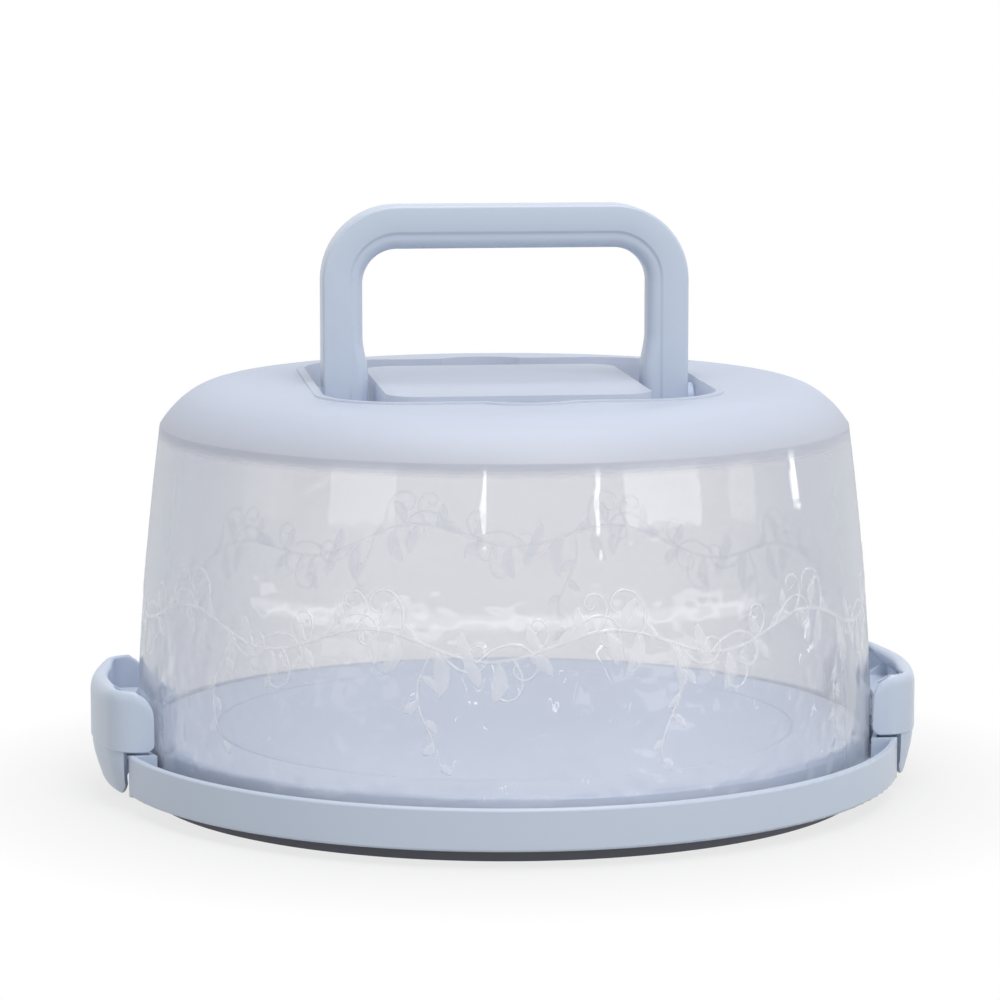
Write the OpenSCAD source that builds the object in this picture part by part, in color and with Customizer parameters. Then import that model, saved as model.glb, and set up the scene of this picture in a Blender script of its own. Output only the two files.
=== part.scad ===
// Round cake carrier: a ribbed tray on a soft foot ring, a clear domed lid that lifts off, a handle
// that folds down into the lid's top, and two side latches that hook over ledges on the lid's wall.
// Millimetres. The origin is on the table under the middle of the carrier, +Z is up and the latches
// are at +X and -X.

/* [Tray] */
// Outer radius of the tray's rim band
tray_r = 145; // [144:0.5:147]
// Height of the band's lower edge above the table
band_bottom = 5.9; // [5.6:0.1:6.4]
// Height of the band's top edge
band_top = 20.7; // [20.2:0.1:21]
// Radius of the round bead along the band's top edge
bead_r = 1.2; // [1.1:0.1:1.4]
// Wall thickness of the tray
tray_wall = 2; // [1.8:0.1:2.2]
// Height of the trough floor, where the lid's rim stands
trough_z = 13.2; // [12.8:0.1:13.6]
// Distance from the raised plate's edge out to the band's outer face
trough_w = 12.3; // [12:0.1:13]
// Height of the plate's top face
plate_z = 22.3; // [21.8:0.1:22.6]
// Rounding of the plate's edge
plate_edge_r = 1.2; // [0.8:0.1:1.6]
// Radius of the fine ring line moulded in the plate
line_r = 106.2; // [60:1:120]
// Radius of the ring line's half-round groove
line_groove_r = 0.6; // [0.4:0.1:0.8]
// Thickness of the ribs under the plate
rib_t = 1.6; // [1.2:0.1:2]
// Height of the ribs' lower edges above the table
rib_bottom = 12; // [9:0.5:14]
// Number of spokes under the plate
spokes = 12; // [6:2:24]
// Radius of the hub ring where the spokes meet
hub_r = 16; // [12:1:24]
// Radius of the middle stiffening ring
mid_ring_r = 68; // [50:1:90]

/* [Foot ring] */
// How far the foot ring stays inside the plate's edge
foot_inset = 0.4; // [0.4:0.1:2]
// Width of the foot ring
foot_w = 9.8; // [8:0.1:11]
// Height of the foot ring
foot_h = 7; // [6:0.5:8]
// Depth of the ring's groove, where a wall of the tray stands
foot_groove = 3.5; // [3:0.5:4]
// Gap on each side of the wall in the groove
foot_gap = 0.1; // [0.05:0.05:0.2]

/* [Lid] */
// Gap between the plate's edge and the lid's skirt
lid_gap = 0.4; // [0.3:0.1:0.6]
// Wall thickness of the lid
lid_wall = 1.6; // [1.4:0.1:1.6]
// Height where the wall starts to lean in
lean_z = 40; // [36:1:44]
// Radius of the long arc that the wall follows
wall_arc_r = 1190; // [1100:10:1300]
// Height of that arc's centre
wall_arc_z = -25; // [-35:1:-15]
// Height of the lid's top face
top_z = 149.1; // [148.8:0.1:149.4]
// Radius of the shoulder's arc
shoulder_arc_r = 37.3; // [37:0.1:37.6]
// Distance from the skirt's outer face in to that arc's centre
shoulder_in = 40.5; // [40:0.1:41]
// Height of that arc's centre
shoulder_arc_z = 114.2; // [114:0.1:114.4]
// Radius of the arc that blends the shoulder into the top
crown_arc_r = 25; // [22:1:28]

/* [Lid recess] */
// Gap between the handle's legs and the recess walls
recess_side_gap = 3.1; // [2.8:0.1:3.4]
// Gap between the folded handle's bar and the recess wall
recess_end_gap = 2.5; // [2:0.1:3]
// Corner radius of the recess
recess_corner_r = 30; // [28:0.5:31]
// Height of the recess floor
recess_floor = 132.7; // [132:0.1:132.8]
// Gap between the handle's legs and the plateau inside the recess
plateau_side_gap = 4.7; // [4:0.1:6]
// Gap between the folded handle's bar and the plateau
plateau_end_gap = 1.5; // [1:0.1:3]
// Corner radius of the plateau
plateau_corner_r = 12; // [10:0.5:14]
// Height of the plateau's top face
plateau_z = 149.3; // [149:0.1:149.5]
// Radius of the finger notches in the recess's front and rear walls
finger_r = 20; // [18:1:22]
// How far the finger notches reach out past the recess
finger_out = 7; // [5:0.5:8]
// Width of the raised lip round the recess
lip_w = 3; // [2:0.5:4]
// Height of the lip above the top face
lip_h = 0.7; // [0.5:0.1:1]

/* [Handle] */
// Height of the handle's pivot axis
pivot_z = 141.5; // [141.3:0.1:141.6]
// Half width of the handle over its legs
handle_x = 66.9; // [66:0.1:67.2]
// Height of the handle's top when upright
handle_top = 213.5; // [205:0.5:213.5]
// Width of each leg
leg_w = 14.7; // [13:0.1:15]
// Height of the top bar
bar_h = 15.8; // [15:0.1:16]
// Outer corner radius
handle_corner_r = 27.5; // [26:0.5:28]
// Inner corner radius
handle_inner_r = 12.5; // [11:0.5:13]
// Thickness of the handle's outer strip
handle_t = 16; // [15:0.1:16]
// Width of the outer strip, up to the step on each face
strip_w = 9.8; // [9:0.1:11]
// Depth of that step
step_d = 0.8; // [0.5:0.1:1]
// How far the legs widen inwards at their feet
flare = 1.9; // [1:0.1:2]
// Height where the widening starts
flare_z = 166; // [160:1:175]
// Height where the widening is complete
flare_end_z = 152; // [148:1:156]
// Radius of the handle's pivot stubs
stub_r = 3.5; // [3:0.1:4]
// Length of the stubs inside the sockets
stub_l = 3.8; // [3:0.1:4]
// Radius of the shoulder disc round each stub
stub_shoulder_r = 6; // [5:0.1:7]
// Gap between the shoulder disc and the recess wall
side_gap = 0.4; // [0.2:0.1:0.5]
// Radial running clearance of every stub in its hole
running_gap = 0.08; // [0.05:0.01:0.1]
// Wall round the handle's blind sockets
socket_wall = 2.9; // [2:0.1:3]

/* [Latches] */
// How far the middle of a latch's face stands out past the band
latch_out = 7.2; // [7:0.1:7.4]
// Radius of the latch's bowed face
latch_bow_r = 100; // [96:1:104]
// Half width of a latch over its ears
latch_half = 40; // [39:0.1:41]
// Rounding of the latch's upright corners
latch_corner_r = 8; // [7:0.5:9]
// Height of the ears' lower edges
ear_bottom = 22; // [21.8:0.1:22.4]
// Height of the latch's top edge
latch_top = 43.5; // [42:0.1:44]
// Rounding of the top edge along the face
latch_top_r = 7; // [5:0.5:8]
// Gap between the ears' inner edges and the lid's wall
ear_gap = 0.9; // [0.8:0.1:1.4]
// Rounding of the ears' upper inner corners
ear_top_r = 10; // [8:0.5:11]
// Rounding of the ears' lower inner corners
ear_low_r = 3; // [2:0.5:4]
// Wall thickness of the latch's upper part
latch_wall = 3; // [2.6:0.1:3.2]
// Depth of the step between the face and the lower panel
panel_step = 0.6; // [0.4:0.1:0.8]
// Wall thickness of the lower panel
panel_wall = 2.4; // [2.2:0.1:2.4]
// Height where the lower panel starts to lean in
panel_lean_z = 19; // [18:0.5:20]
// How far the lower panel leans in at its bottom edge
panel_lean = 3.4; // [3:0.1:3.8]
// Height of the latch's bottom edge
panel_bottom = 6; // [6:0.1:6.4]
// Gap between the lower panel and each side of its notch
notch_gap = 1; // [0.8:0.1:1.2]
// Half width of the lower panel
panel_half = 38.4; // [38:0.1:38.6]

/* [Latch hinges and hooks] */
// How far the hinge axis lies inside the band's outer face
hinge_in = 3; // [3:0.1:3.2]
// Height of the hinge axis
hinge_z = 11; // [11:0.1:11.2]
// Radius of the hinge stubs
pin_r = 1.6; // [1.4:0.1:1.7]
// Outer radius of the hinge lugs and webs
lug_r = 3.2; // [3:0.1:3.2]
// Distance from the middle of the latch to each lug
lug_in = 8; // [7:0.5:8]
// Width of each lug
lug_w = 6; // [5:0.5:6]
// Side gap between a lug and the web beside it
lug_gap = 0.5; // [0.3:0.1:0.6]
// Thickness of the latch's hinge webs
web_t = 2; // [1.6:0.1:2.2]
// Height of the upper face of the lid's ledges
ledge_top = 31.1; // [30:0.1:31.1]
// Thickness of the ledges at the wall
ledge_h = 5; // [4:0.5:6]
// How far the ledges stand out from the lid's skirt
ledge_out = 3.6; // [3.2:0.1:3.8]
// Angle that each ledge takes to either side of its middle
ledge_angle = 12; // [8:0.5:12]
// Gap between a ledge and the hook over it
hook_gap = 0.5; // [0.3:0.1:0.6]
// Thickness of the hook
hook_t = 2; // [1.8:0.1:2.4]
// Half width of the hook
hook_half = 24; // [18:1:28]
// Gap between the hook's inner edge and the lid's skirt
hook_clear = 1.3; // [1.2:0.1:1.6]
// Gap between the lid's skirt and the wall that closes the trough behind a latch
pocket_clear = 1.2; // [1:0.1:1.3]

/* [Hidden] */
$fn = 144;
pale_blue = [0.70, 0.76, 0.86];
clear_blue = [0.80, 0.86, 0.94, 0.55];
dark_grey = [0.25, 0.28, 0.32];
// Overshoot of every cutting shape past the face that it cuts
cut = 1;
// Reach of a cutting shape that only has to pass the whole carrier
far = 200;
plate_r = tray_r - trough_w;
foot_r = plate_r - foot_inset;
foot_in_r = foot_r - foot_w;
foot_wall_mid_r = foot_r - foot_w / 2;
skirt_r = plate_r + lid_gap + lid_wall;
shoulder_arc_x = skirt_r - shoulder_in;
handle_reach = handle_top - pivot_z;
recess_x = handle_x + recess_side_gap;
recess_y = handle_reach + recess_end_gap;
plateau_x = handle_x - leg_w - plateau_side_gap;
plateau_y = handle_reach - bar_h - plateau_end_gap;
trough_under = trough_z - tray_wall;
rim_z = trough_z;
foot_wall_r = foot_wall_mid_r + tray_wall / 2;
foot_wall_in_r = foot_wall_mid_r - tray_wall / 2;
foot_wall_bottom = foot_h - foot_groove;
notch_half = panel_half + notch_gap;
pocket_in_r = skirt_r + pocket_clear;
pocket_r = pocket_in_r + lid_wall;
wall_arc_x = skirt_r - sqrt(pow(wall_arc_r, 2) - pow(lean_z - wall_arc_z, 2));
crown_z = top_z - crown_arc_r;
crown_rise = crown_z - shoulder_arc_z;
crown_x = shoulder_arc_x + sqrt(pow(shoulder_arc_r - crown_arc_r, 2) - pow(crown_rise, 2));
crown_angle = atan2(crown_rise, crown_x - shoulder_arc_x);
// Height inside the shoulder's arc where the wall outline hands over to the cap outline
cap_z = 122;
finger_y = recess_y + finger_out - finger_r;
socket_r = stub_r + running_gap;
socket_depth = stub_l + 1;
boss_r = socket_r + socket_wall;
stub_shoulder_x = recess_x - side_gap;
latch_reach = tray_r + latch_out;
hinge_x = tray_r - hinge_in;
ledge_r = skirt_r + ledge_out;
hook_r = skirt_r + hook_clear;
ear_reach = sqrt(pow(skirt_r, 2) - pow(latch_half - latch_wall, 2)) + ear_gap;
bow_x = latch_reach - latch_bow_r;
corner_v = latch_half - latch_corner_r;
corner_u = bow_x + sqrt(pow(latch_bow_r - latch_corner_r, 2) - pow(corner_v, 2));
bow_end_u = bow_x + (corner_u - bow_x) * latch_bow_r / (latch_bow_r - latch_corner_r);
bow_end_v = corner_v * latch_bow_r / (latch_bow_r - latch_corner_r);
panel_r = latch_bow_r - panel_step;
hook_z = ledge_top + hook_gap;
web_in = lug_in + lug_w + lug_gap;
// Length of a hinge stub out of its web
stub_in = lug_w;

// Rectangle with round corners, centred
module round_rect(half_x, half_y, r) {
    square([2 * half_x, 2 * (half_y - r)], center = true);
    square([2 * (half_x - r), 2 * half_y], center = true);
    for (sx = [-1, 1], sy = [-1, 1])
        translate([sx * (half_x - r), sy * (half_y - r)]) circle(r = r);
}

// Upright round tube
module tube(r_out, r_in, z0, z1) {
    translate([0, 0, z0]) linear_extrude(z1 - z0) difference() {
        circle(r = r_out);
        circle(r = r_in);
    }
}

// Box at +X between two distances from the axis
module side_box(u0, u1, half_v, z0, z1) {
    translate([u0, -half_v, z0]) cube([u1 - u0, 2 * half_v, z1 - z0]);
}

// The same shape at +X and at -X
module both_sides() {
    children();
    rotate([0, 0, 180]) children();
}

// Section of the tray in the radius-height plane
module tray_section() {
    translate([tray_r - tray_wall, band_bottom + tray_wall / 2])
        square([tray_wall, band_top - bead_r - band_bottom - tray_wall / 2]);
    translate([tray_r - tray_wall / 2, band_bottom + tray_wall / 2]) circle(r = tray_wall / 2);
    translate([tray_r - bead_r, band_top - bead_r]) circle(r = bead_r);
    translate([plate_r - tray_wall, trough_under]) square([tray_r - plate_r, tray_wall]);
    translate([plate_r - tray_wall, trough_under]) square([tray_wall, plate_z - plate_edge_r - trough_under]);
    translate([0, plate_z - tray_wall]) square([plate_r - plate_edge_r, tray_wall]);
    translate([plate_r - plate_edge_r, plate_z - plate_edge_r]) circle(r = plate_edge_r);
    translate([foot_wall_in_r, foot_wall_bottom]) square([tray_wall, plate_z - tray_wall - foot_wall_bottom]);
}

// Stiffening rings and spokes under the plate
module tray_ribs() {
    under = plate_z - tray_wall;
    tube(hub_r, hub_r - rib_t, rib_bottom, under);
    tube(mid_ring_r, mid_ring_r - rib_t, rib_bottom, under);
    for (i = [0:spokes - 1])
        rotate([0, 0, (i + 0.5) * 360 / spokes])
            translate([hub_r - rib_t / 2, -rib_t / 2, rib_bottom])
                cube([foot_wall_in_r - hub_r + rib_t, rib_t, under - rib_bottom]);
}

// Walls that close the trough round a latch notch
module notch_frame() {
    intersection() {
        tube(tray_r, pocket_in_r, band_bottom, band_top);
        side_box(0, far, notch_half + tray_wall, band_bottom, band_top);
    }
}

// Space cut out of the band and trough for a latch's lower panel
module notch_space() {
    difference() {
        side_box(0, far, notch_half, -cut, band_top + cut);
        translate([0, 0, trough_under]) cylinder(r = pocket_r, h = far);
        translate([0, 0, -2 * cut]) cylinder(r = plate_r, h = far);
    }
}

// Two lugs that carry a latch's hinge stubs
module hinge_lugs() {
    root = pocket_in_r + lid_wall / 4;
    for (side = [0, 1]) mirror([0, side, 0])
        translate([0, lug_in + lug_w, 0]) rotate([90, 0, 0]) linear_extrude(lug_w) difference() {
            union() {
                translate([hinge_x, hinge_z]) circle(r = lug_r);
                translate([root, hinge_z]) square([hinge_x - root, lug_r]);
            }
            translate([hinge_x, hinge_z]) circle(r = pin_r + running_gap);
        }
}

// Moulded tray
module base_tray() {
    color(pale_blue) {
        difference() {
            union() {
                rotate_extrude() tray_section();
                both_sides() notch_frame();
            }
            both_sides() notch_space();
            rotate_extrude() translate([line_r, plate_z]) circle(r = line_groove_r);
        }
        both_sides() hinge_lugs();
        tray_ribs();
    }
}

// Soft ring that the tray stands on, held on the tray's foot wall by a groove
module foot_ring() {
    color(dark_grey) difference() {
        tube(foot_r, foot_in_r, 0, foot_h);
        tube(foot_wall_r + foot_gap, foot_wall_in_r - foot_gap, foot_wall_bottom, foot_h + cut);
    }
}

// Shoulder and top of the lid in the radius-height plane: the shoulder's arc runs up to the line
// through both arc centres, and the crown's arc goes on from there to the flat top
module cap_outline(inset) {
    reach = 2 * shoulder_arc_r;
    intersection() {
        translate([shoulder_arc_x, shoulder_arc_z]) circle(r = shoulder_arc_r - inset);
        polygon([
            [shoulder_arc_x, shoulder_arc_z],
            [shoulder_arc_x, shoulder_arc_z - reach],
            [shoulder_arc_x + reach, shoulder_arc_z - reach],
            [shoulder_arc_x + reach * cos(crown_angle), shoulder_arc_z + reach * sin(crown_angle)]
        ]);
    }
    translate([crown_x, crown_z]) circle(r = crown_arc_r - inset);
    polygon([
        [0, shoulder_arc_z],
        [shoulder_arc_x, shoulder_arc_z],
        [crown_x, crown_z],
        [crown_x, top_z - inset],
        [0, top_z - inset]
    ]);
}

// Whole outline of the lid, moved inwards by inset, from a height up
module lid_outline(inset, z0) {
    intersection() {
        translate([0, z0]) square([skirt_r - inset, top_z - z0]);
        translate([wall_arc_x, wall_arc_z]) circle(r = wall_arc_r - inset, $fn = 4 * $fn);
        union() {
            translate([0, z0]) square([far, cap_z - z0]);
            cap_outline(inset);
        }
    }
}

// Plan of the recess with its finger notches, grown outwards
module recess_plan(grow) {
    round_rect(recess_x + grow, recess_y + grow, recess_corner_r + grow);
    for (side = [-1, 1])
        translate([0, side * finger_y]) circle(r = finger_r + grow);
}

// Plan of the plateau, shrunk inwards
module plateau_plan(shrink) {
    round_rect(plateau_x - shrink, plateau_y - shrink, plateau_corner_r - shrink);
}

// Ledge on the lid's wall that a latch hooks over
module catch_ledge() {
    root = skirt_r - lid_wall / 2;
    slope = ledge_r - skirt_r;
    rotate([0, 0, -ledge_angle]) rotate_extrude(angle = 2 * ledge_angle) polygon([
        [root, ledge_top - ledge_h],
        [ledge_r, ledge_top - ledge_h + slope],
        [ledge_r, ledge_top],
        [root, ledge_top]
    ]);
}

// Clear lid with the sunk channel for the handle
module lid_dome() {
    under = recess_floor - lid_wall;
    color(clear_blue) difference() {
        union() {
            difference() {
                rotate_extrude() lid_outline(0, rim_z);
                rotate_extrude() lid_outline(lid_wall, rim_z - cut);
            }
            translate([0, 0, under]) linear_extrude(top_z - under) recess_plan(lid_wall);
            translate([0, 0, top_z - lid_wall]) linear_extrude(lid_wall + lip_h) recess_plan(lip_w);
            both_sides() translate([recess_x, 0, pivot_z]) rotate([0, 90, 0])
                cylinder(r = boss_r, h = socket_depth + lid_wall);
            both_sides() catch_ledge();
        }
        translate([0, 0, recess_floor]) linear_extrude(far) difference() {
            recess_plan(0);
            plateau_plan(0);
        }
        translate([0, 0, plateau_z]) linear_extrude(far) plateau_plan(-cut);
        translate([0, 0, under - cut]) linear_extrude(plateau_z - lid_wall - under + cut) plateau_plan(lid_wall);
        both_sides() translate([recess_x - cut, 0, pivot_z]) rotate([0, 90, 0])
            cylinder(r = socket_r, h = socket_depth + cut);
    }
}

// Front view of the handle's outline, moved inwards by inset
module handle_outer(inset) {
    r = handle_corner_r - inset;
    half = handle_x - inset;
    top = handle_top - inset;
    low = pivot_z - handle_t / 2;
    translate([-half, low]) square([2 * half, top - r - low]);
    translate([r - half, low]) square([2 * (half - r), top - low]);
    for (side = [-1, 1])
        translate([side * (half - r), top - r]) circle(r = r);
}

// Front view of the opening between the handle's legs
module handle_opening() {
    r = handle_inner_r;
    half = handle_x - leg_w;
    top = handle_top - bar_h;
    low = pivot_z - handle_t;
    difference() {
        union() {
            translate([-half, low]) square([2 * half, top - r - low]);
            translate([r - half, low]) square([2 * (half - r), top - low]);
            for (side = [-1, 1])
                translate([side * (half - r), top - r]) circle(r = r);
        }
        for (side = [-1, 1])
            scale([side, 1]) polygon([
                [half, flare_z],
                [half - flare, flare_end_z],
                [half - flare, low - cut],
                [half + cut, low - cut],
                [half + cut, flare_z]
            ]);
    }
}

// Carrying handle, upright
module handle() {
    color(pale_blue) {
        intersection() {
            union() {
                translate([0, handle_t / 2, 0]) rotate([90, 0, 0]) linear_extrude(handle_t) difference() {
                    handle_outer(0);
                    handle_opening();
                    handle_outer(strip_w);
                }
                translate([0, handle_t / 2 - step_d, 0]) rotate([90, 0, 0])
                    linear_extrude(handle_t - 2 * step_d) difference() {
                        handle_outer(strip_w / 2);
                        handle_opening();
                    }
            }
            union() {
                translate([-far / 2, 0, pivot_z]) rotate([0, 90, 0]) cylinder(r = handle_t / 2, h = far);
                translate([-far / 2, -handle_t / 2, pivot_z]) cube([far, handle_t, far]);
            }
        }
        both_sides() translate([handle_x - cut, 0, pivot_z]) rotate([0, 90, 0]) {
            cylinder(r = stub_shoulder_r, h = stub_shoulder_x - handle_x + cut);
            cylinder(r = stub_r, h = recess_x + stub_l - handle_x + cut);
        }
    }
}

// Plan of a latch at +X, moved inwards by inset: bowed face, round corners and straight sides
module latch_plan(inset, inner_u) {
    v = latch_half - inset;
    join = 1 - inset / latch_bow_r;
    join_u = bow_x + (bow_end_u - bow_x) * join;
    join_v = bow_end_v * join;
    intersection() {
        translate([bow_x, 0]) circle(r = latch_bow_r - inset);
        translate([bow_x, -join_v]) square([far, 2 * join_v]);
    }
    for (side = [-1, 1])
        translate([corner_u, side * corner_v]) circle(r = latch_corner_r - inset);
    polygon([
        [inner_u, -v],
        [corner_u, -v],
        [corner_u, -corner_v],
        [join_u, -join_v],
        [join_u, join_v],
        [corner_u, corner_v],
        [corner_u, v],
        [inner_u, v]
    ]);
}

// Side view of a latch's upper part, with its rounded ear corners
module ear_view() {
    low = ear_bottom;
    translate([ear_reach + ear_top_r, latch_top - ear_top_r]) circle(r = ear_top_r);
    translate([ear_reach + ear_low_r, low + ear_low_r]) circle(r = ear_low_r);
    translate([ear_reach + ear_top_r, low]) square([far - ear_reach, latch_top - low]);
    translate([ear_reach + ear_low_r, low]) square([ear_top_r, latch_top - ear_top_r - low]);
    translate([ear_reach, low + ear_low_r]) square([ear_low_r + cut, latch_top - ear_top_r - low - ear_low_r]);
}

// Upper part of a latch: face and ears round an open pocket
module latch_block() {
    intersection() {
        translate([0, 0, ear_bottom]) linear_extrude(latch_top - ear_bottom) difference() {
            latch_plan(0, ear_reach - cut);
            latch_plan(latch_wall, 0);
        }
        translate([bow_x, 0, 0]) rotate_extrude() {
            square([latch_bow_r, latch_top - latch_top_r]);
            square([latch_bow_r - latch_top_r, latch_top]);
            translate([latch_bow_r - latch_top_r, latch_top - latch_top_r]) circle(r = latch_top_r);
        }
        translate([0, far, 0]) rotate([90, 0, 0]) linear_extrude(2 * far) ear_view();
    }
}

// Lower panel of a latch, in front of the hinge
module latch_panel() {
    foot = panel_r - panel_lean;
    join = ear_bottom + cut / 2;
    intersection() {
        translate([bow_x, 0, 0]) rotate_extrude() polygon([
            [foot - panel_wall, panel_bottom],
            [foot, panel_bottom],
            [panel_r, panel_lean_z],
            [panel_r, join],
            [panel_r - panel_wall, join],
            [panel_r - panel_wall, panel_lean_z]
        ]);
        side_box(bow_x, far, panel_half, 0, far);
    }
}

// Hook inside a latch that stands over the lid's ledge, with three stiffening ribs
module latch_hook() {
    difference() {
        intersection() {
            union() {
                side_box(0, far, hook_half, hook_z, hook_z + hook_t);
                for (i = [-1:1])
                    translate([0, i * hook_half * 0.7 + hook_t / 2, 0]) rotate([90, 0, 0])
                        linear_extrude(hook_t) polygon([
                            [hook_r + hook_t, hook_z + hook_t / 2],
                            [latch_reach, hook_z + hook_t / 2],
                            [latch_reach, latch_top - latch_wall],
                            [latch_reach - latch_wall - hook_t, latch_top - latch_wall]
                        ]);
            }
            translate([bow_x, 0, 0]) cylinder(r = latch_bow_r - latch_wall / 2, h = far);
        }
        translate([0, 0, -cut]) cylinder(r = hook_r, h = far);
    }
}

// Webs and stubs of a latch's hinge
module latch_hinge() {
    foot = panel_r - panel_lean - panel_wall / 2;
    face = panel_r - panel_wall / 2;
    for (side = [0, 1]) mirror([0, side, 0]) {
        intersection() {
            translate([0, web_in + web_t, 0]) rotate([90, 0, 0]) linear_extrude(web_t) {
                translate([hinge_x, hinge_z]) circle(r = lug_r);
                translate([hinge_x, hinge_z - lug_r]) square([far, 2 * lug_r]);
            }
            translate([bow_x, 0, 0]) rotate_extrude()
                polygon([[0, panel_bottom], [foot, panel_bottom], [face, panel_lean_z], [0, panel_lean_z]]);
        }
        translate([hinge_x, web_in + web_t / 2, hinge_z]) rotate([90, 0, 0])
            cylinder(r = pin_r, h = stub_in + web_t / 2);
    }
}

// One latch, closed, at +X
module latch() {
    color(pale_blue) {
        latch_block();
        latch_panel();
        latch_hook();
        latch_hinge();
    }
}

// Latch at -X
module latch_left() {
    rotate([0, 0, 180]) latch();
}

// Latch at +X
module latch_right() {
    latch();
}

base_tray();
foot_ring();
lid_dome();
handle();
latch_left();
latch_right();
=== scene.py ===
import math

import bmesh
import bpy
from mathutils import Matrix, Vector


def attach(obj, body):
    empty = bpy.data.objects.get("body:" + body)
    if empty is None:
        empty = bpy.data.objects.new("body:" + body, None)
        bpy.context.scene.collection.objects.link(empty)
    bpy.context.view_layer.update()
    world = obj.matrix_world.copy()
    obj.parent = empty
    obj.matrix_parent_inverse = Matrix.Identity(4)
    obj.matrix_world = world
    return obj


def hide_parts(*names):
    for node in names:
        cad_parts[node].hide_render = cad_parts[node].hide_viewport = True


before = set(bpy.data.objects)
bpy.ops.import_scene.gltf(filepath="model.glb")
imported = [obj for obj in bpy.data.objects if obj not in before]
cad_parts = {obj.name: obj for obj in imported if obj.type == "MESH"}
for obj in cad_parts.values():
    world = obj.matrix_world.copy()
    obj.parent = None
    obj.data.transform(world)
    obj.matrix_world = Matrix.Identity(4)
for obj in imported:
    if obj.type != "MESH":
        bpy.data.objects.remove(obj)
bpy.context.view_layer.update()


# ---- Foot ring ----------------------------------------------------------------------------------
# A ring under the tray. It is moulded, and the groove in its top is pushed over the tray's foot wall.
# Its dark grey is painted shade, for the shade that falls under the tray's rim.
MM = 0.001
SHADED_RING_GREY = (116, 118, 126)


def screen_colour(red, green, blue):
    # From the 0-255 numbers of a colour chart to the shader's linear numbers.
    parts = [part / 255 for part in (red, green, blue)]
    return [part / 12.92 if part < 0.04045 else ((part + 0.055) / 1.055) ** 2.4 for part in parts] + [1]


def new_material(name):
    made = bpy.data.materials.new(name)
    made.use_nodes = True
    made.node_tree.nodes.clear()
    return made


def add_node(made, kind, **values):
    node = made.node_tree.nodes.new("ShaderNode" + kind)
    for name, value in values.items():
        node.inputs[name.replace("_", " ")].default_value = value
    return node


def join(made, source, target):
    made.node_tree.links.new(source, target)


def moulded_grain(made, size, depth):
    # The very fine, uneven skin that a mould leaves on plastic or rubber.
    place = add_node(made, "TexCoord")
    noise = add_node(made, "TexNoise", Scale=1 / size, Detail=3.0)
    bump = add_node(made, "Bump", Strength=1.0, Distance=depth)
    join(made, place.outputs["Object"], noise.inputs["Vector"])
    join(made, noise.outputs["Fac"], bump.inputs["Height"])
    return bump.outputs["Normal"]


def finish(made, shader):
    join(made, shader, add_node(made, "OutputMaterial").inputs["Surface"])


def dress(obj, made):
    obj.data.materials.clear()
    obj.data.materials.append(made)


# Painted shade: the ring's dark grey stands for the shade under the tray's rim.
ring_painted_shade = new_material("ring_painted_shade")
shaded_ring_skin = add_node(ring_painted_shade, "BsdfPrincipled", Base_Color=screen_colour(*SHADED_RING_GREY), Roughness=0.6)
join(ring_painted_shade, moulded_grain(ring_painted_shade, 0.7 * MM, 0.02 * MM), shaded_ring_skin.inputs["Normal"])
finish(ring_painted_shade, shaded_ring_skin.outputs["BSDF"])
dress(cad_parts["foot_ring"], ring_painted_shade)


# ---- Tray ---------------------------------------------------------------------------------------
# The round tray is one moulding in opaque pale blue plastic. Its skin is satin, as it comes from
# a polished mould, and the gate and ejector marks are all underneath.
SHELL_BLUE = (189, 200, 216)

blue_plastic = new_material("blue_plastic")
blue_shell = add_node(blue_plastic, "BsdfPrincipled", Base_Color=screen_colour(*SHELL_BLUE), Roughness=0.34)
join(blue_plastic, moulded_grain(blue_plastic, 1.2 * MM, 0.006 * MM), blue_shell.inputs["Normal"])
finish(blue_plastic, blue_shell.outputs["BSDF"])
dress(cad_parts["base_tray"], blue_plastic)


# ---- Latches ------------------------------------------------------------------------------------
# Two latches in the same blue plastic. Each is snapped between the tray's hinge lugs and swings
# out and down; closed, its hook lies over the lid's catch ledge. The shell has a thick round rim
# where the fingertips pull, and a thinner panel below in front of the hinge.
LATCH_OUT = 152.2 * MM
LATCH_HALF = 40 * MM
LATCH_LOW = 21.5 * MM
LATCH_TOP = 43.5 * MM
EAR_END = 130.4 * MM
BOW_R = 100 * MM
CORNER_R = 12 * MM
SHELL_T = 3 * MM
RIM_T = 6.5 * MM
PANEL_LOW = 6 * MM
PANEL_HALF = 38.4 * MM
PANEL_T = 2.4 * MM
BAND_R = 145 * MM
HINGE_U = 142 * MM
HINGE_Z = 11 * MM
WEB_R = 3.2 * MM
WEB_FROM = 14.5 * MM
WEB_TO = 16.5 * MM
STUB_R = 1.6 * MM
STUB_FROM = 9.5 * MM
STUB_TO = 15 * MM
HOOK_LOW = 31.6 * MM
HOOK_T = 2 * MM
HOOK_R = 136 * MM
HOOK_HALF = 24 * MM
WELD = 0.002 * MM
LATCH_CREASE = math.radians(38)

BOW_U = LATCH_OUT - BOW_R
corner_v = LATCH_HALF - CORNER_R
corner_u = BOW_U + math.sqrt((BOW_R - CORNER_R) ** 2 - corner_v ** 2)
corner_turn = math.atan2(corner_v, corner_u - BOW_U)


def mesh_piece(name, points, faces, made):
    mesh = bpy.data.meshes.new(name)
    mesh.from_pydata(points, [], faces)
    work = bmesh.new()
    work.from_mesh(mesh)
    bmesh.ops.remove_doubles(work, verts=work.verts, dist=WELD)
    bmesh.ops.recalc_face_normals(work, faces=work.faces)
    work.to_mesh(mesh)
    work.free()
    mesh.shade_smooth()
    piece = bpy.data.objects.new(name, mesh)
    bpy.context.scene.collection.objects.link(piece)
    dress(piece, made)
    return piece


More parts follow.
